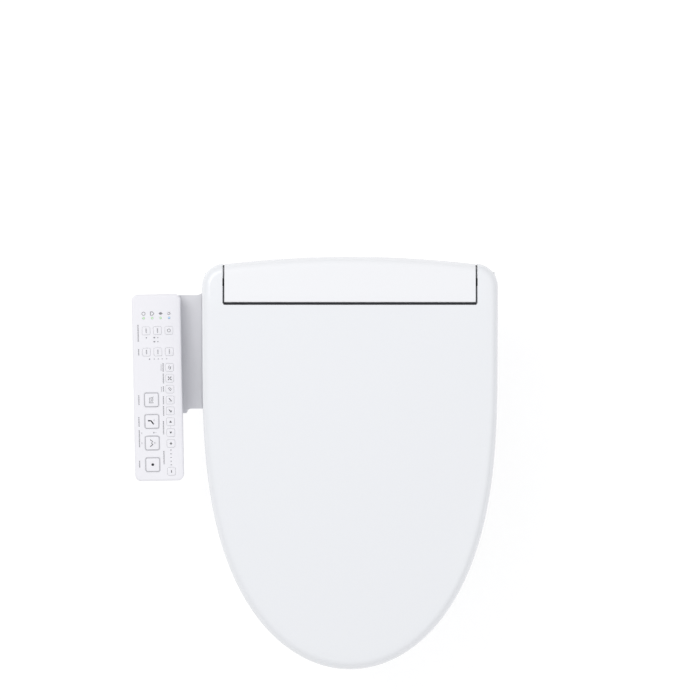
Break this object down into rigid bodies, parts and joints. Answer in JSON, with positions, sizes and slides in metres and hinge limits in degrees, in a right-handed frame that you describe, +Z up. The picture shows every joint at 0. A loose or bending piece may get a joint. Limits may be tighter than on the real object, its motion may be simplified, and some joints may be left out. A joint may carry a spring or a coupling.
{
  "type": "electric bidet seat",
  "caption": "Electric bidet seat with a hinged lid and heated seat ring on a rear unit, a side control panel on an arm, a sliding wash nozzle and a warm air outlet.",
  "frame": {"origin": "midpoint of the mounting bolt line on the underside of the base plate, which is the toilet deck plane", "axes": "+Y to the rear of the toilet, +Z up, +X to the side away from the control panel"},
  "size_m": [0.4732, 0.535, 0.145],
  "materials": {
    "lid_white": "gloss, moulded",
    "seat_white": "gloss, moulded",
    "unit_white": "gloss, moulded",
    "panel_white": "satin",
    "button_white": "satin; the four large keys have a grey outline",
    "arm_white": "satin",
    "nozzle_white": "gloss",
    "grey_plastic": "fine texture",
    "dark_plastic": "fine texture",
    "rubber": "matte",
    "board_green": "solder mask",
    "foil": "bright foil",
    "steel": "plated",
    "brass": "plain",
    "lens": "clear, lit green and blue"
  },
  "bodies": {
    "main_unit": {"nozzle_guide": "grey_plastic", "nozzle_motor": "dark_plastic", "panel_case": "panel_white", "panel_board": "board_green", "status_lens": "lens", "panel_face": "panel_white", "base_plate": "dark_plastic", "mounting_bolt_left": "steel", "mounting_bolt_right": "steel", "lower_case": "unit_white", "top_cover": "unit_white", "lid_damper": "dark_plastic", "seat_damper": "dark_plastic", "water_inlet": "brass", "solenoid_valve": "dark_plastic", "water_heater_tank": "grey_plastic", "drain_plug": "grey_plastic", "fan_housing": "dark_plastic", "fan_motor": "steel", "dryer_duct": "dark_plastic", "dryer_heater": "steel", "main_board": "board_green", "power_supply": "dark_plastic", "cord_gland": "rubber", "arm_lower": "arm_white", "arm_upper": "arm_white"},
    "seat": {"seat_top_shell": "seat_white", "seat_bottom_shell": "seat_white", "seat_heater": "foil", "seat_bumper_front_left": "rubber", "seat_bumper_rear_left": "rubber", "seat_bumper_front_right": "rubber", "seat_bumper_rear_right": "rubber"},
    "lid": {"lid_shell": "lid_white", "lid_bumper_left": "rubber", "lid_bumper_right": "rubber"},
    "nozzle": {"nozzle_wand": "nozzle_white"},
    "nozzle_pinion_wheel": {"nozzle_pinion": "grey_plastic"},
    "dryer_flap_leaf": {"dryer_flap": "unit_white"},
    "fan": {"fan_wheel": "grey_plastic"},
    "release_key": {"release_button": "grey_plastic"},
    "key_dry": {"button_dry": "button_white"},
    "key_front_wash": {"button_front_wash": "button_white"},
    "key_rear_wash": {"button_rear_wash": "button_white"},
    "key_stop": {"button_stop": "button_white"},
    "key_energy_saver": {"button_energy_saver": "button_white"},
    "key_energy_timer": {"button_energy_timer": "button_white"},
    "key_power": {"button_power": "button_white"},
    "key_water_temperature": {"button_water_temperature": "button_white"},
    "key_seat_temperature": {"button_seat_temperature": "button_white"},
    "key_air_temperature": {"button_air_temperature": "button_white"},
    "key_night_light": {"button_night_light": "button_white"},
    "key_auto_lid": {"button_auto_lid": "button_white"},
    "key_nozzle_clean": {"button_nozzle_clean": "button_white"},
    "key_pulse": {"button_pulse": "button_white"},
    "key_oscillate": {"button_oscillate": "button_white"},
    "key_nozzle_forward": {"button_nozzle_forward": "button_white"},
    "key_nozzle_back": {"button_nozzle_back": "button_white"},
    "key_pressure_up": {"button_pressure_up": "button_white"},
    "key_pressure_down": {"button_pressure_down": "button_white"}
  },
  "joints": [
    {"name": "seat_hinge", "type": "hinge", "parent": "main_unit", "child": "seat", "pos_m": [0, 0.025, 0.101], "axis": [-1, 0, 0], "range_deg": [0, 106]},
    {"name": "lid_hinge", "type": "hinge", "parent": "seat", "child": "lid", "pos_m": [0, 0.025, 0.101], "axis": [1, 0, 0], "range_deg": [-108, 0]},
    {"name": "nozzle_slide", "type": "slide", "parent": "main_unit", "child": "nozzle", "axis": [0, -0.9659, -0.2588], "range_m": [0, 0.072]},
    {"name": "pinion_turn", "type": "hinge", "parent": "main_unit", "child": "nozzle_pinion_wheel", "pos_m": [-0.026, -0.01949, 0.01247], "axis": [1, 0, 0], "range_deg": [0, 551]},
    {"name": "flap_hinge", "type": "hinge", "parent": "main_unit", "child": "dryer_flap_leaf", "pos_m": [0.035, -0.0747, 0.0195], "axis": [-1, 0, 0], "range_deg": [0, 50]},
    {"name": "fan_spin", "type": "hinge", "parent": "main_unit", "child": "fan", "pos_m": [0.035, 0.027, 0.099], "axis": [1, 0, 0], "continuous": true},
    {"name": "release_press", "type": "slide", "parent": "main_unit", "child": "release_key", "axis": [-1, 0, 0], "range_m": [0, 0.003], "stiffness_N_per_m": 300, "springref_m": -0.002},
    {"name": "dry_press", "type": "slide", "parent": "main_unit", "child": "key_dry", "axis": [-0.0005, 0.0244, -0.9997], "range_m": [0, 0.001], "stiffness_N_per_m": 400, "springref_m": -0.001},
    {"name": "front_wash_press", "type": "slide", "parent": "main_unit", "child": "key_front_wash", "axis": [-0.0005, 0.0244, -0.9997], "range_m": [0, 0.001], "stiffness_N_per_m": 400, "springref_m": -0.001},
    {"name": "rear_wash_press", "type": "slide", "parent": "main_unit", "child": "key_rear_wash", "axis": [-0.0005, 0.0244, -0.9997], "range_m": [0, 0.001], "stiffness_N_per_m": 400, "springref_m": -0.001},
    {"name": "stop_press", "type": "slide", "parent": "main_unit", "child": "key_stop", "axis": [-0.0005, 0.0244, -0.9997], "range_m": [0, 0.001], "stiffness_N_per_m": 400, "springref_m": -0.001},
    {"name": "energy_saver_press", "type": "slide", "parent": "main_unit", "child": "key_energy_saver", "axis": [-0.0005, 0.0244, -0.9997], "range_m": [0, 0.001], "stiffness_N_per_m": 400, "springref_m": -0.001},
    {"name": "energy_timer_press", "type": "slide", "parent": "main_unit", "child": "key_energy_timer", "axis": [-0.0005, 0.0244, -0.9997], "range_m": [0, 0.001], "stiffness_N_per_m": 400, "springref_m": -0.001},
    {"name": "power_press", "type": "slide", "parent": "main_unit", "child": "key_power", "axis": [-0.0005, 0.0244, -0.9997], "range_m": [0, 0.001], "stiffness_N_per_m": 400, "springref_m": -0.001},
    {"name": "water_temperature_press", "type": "slide", "parent": "main_unit", "child": "key_water_temperature", "axis": [-0.0005, 0.0244, -0.9997], "range_m": [0, 0.001], "stiffness_N_per_m": 400, "springref_m": -0.001},
    {"name": "seat_temperature_press", "type": "slide", "parent": "main_unit", "child": "key_seat_temperature", "axis": [-0.0005, 0.0244, -0.9997], "range_m": [0, 0.001], "stiffness_N_per_m": 400, "springref_m": -0.001},
    {"name": "air_temperature_press", "type": "slide", "parent": "main_unit", "child": "key_air_temperature", "axis": [-0.0005, 0.0244, -0.9997], "range_m": [0, 0.001], "stiffness_N_per_m": 400, "springref_m": -0.001},
    {"name": "night_light_press", "type": "slide", "parent": "main_unit", "child": "key_night_light", "axis": [-0.0005, 0.0244, -0.9997], "range_m": [0, 0.001], "stiffness_N_per_m": 400, "springref_m": -0.001},
    {"name": "auto_lid_press", "type": "slide", "parent": "main_unit", "child": "key_auto_lid", "axis": [-0.0005, 0.0244, -0.9997], "range_m": [0, 0.001], "stiffness_N_per_m": 400, "springref_m": -0.001},
    {"name": "nozzle_clean_press", "type": "slide", "parent": "main_unit", "child": "key_nozzle_clean", "axis": [-0.0005, 0.0244, -0.9997], "range_m": [0, 0.001], "stiffness_N_per_m": 400, "springref_m": -0.001},
    {"name": "pulse_press", "type": "slide", "parent": "main_unit", "child": "key_pulse", "axis": [-0.0005, 0.0244, -0.9997], "range_m": [0, 0.001], "stiffness_N_per_m": 400, "springref_m": -0.001},
    {"name": "oscillate_press", "type": "slide", "parent": "main_unit", "child": "key_oscillate", "axis": [-0.0005, 0.0244, -0.9997], "range_m": [0, 0.001], "stiffness_N_per_m": 400, "springref_m": -0.001},
    {"name": "nozzle_forward_press", "type": "slide", "parent": "main_unit", "child": "key_nozzle_forward", "axis": [-0.0005, 0.0244, -0.9997], "range_m": [0, 0.001], "stiffness_N_per_m": 400, "springref_m": -0.001},
    {"name": "nozzle_back_press", "type": "slide", "parent": "main_unit", "child": "key_nozzle_back", "axis": [-0.0005, 0.0244, -0.9997], "range_m": [0, 0.001], "stiffness_N_per_m": 400, "springref_m": -0.001},
    {"name": "pressure_up_press", "type": "slide", "parent": "main_unit", "child": "key_pressure_up", "axis": [-0.0005, 0.0244, -0.9997], "range_m": [0, 0.001], "stiffness_N_per_m": 400, "springref_m": -0.001},
    {"name": "pressure_down_press", "type": "slide", "parent": "main_unit", "child": "key_pressure_down", "axis": [-0.0005, 0.0244, -0.9997], "range_m": [0, 0.001], "stiffness_N_per_m": 400, "springref_m": -0.001}
  ],
  "couplings": [
    {"joint": "pinion_turn", "follows": "nozzle_slide", "rad_per_m": 133.33}
  ]
}
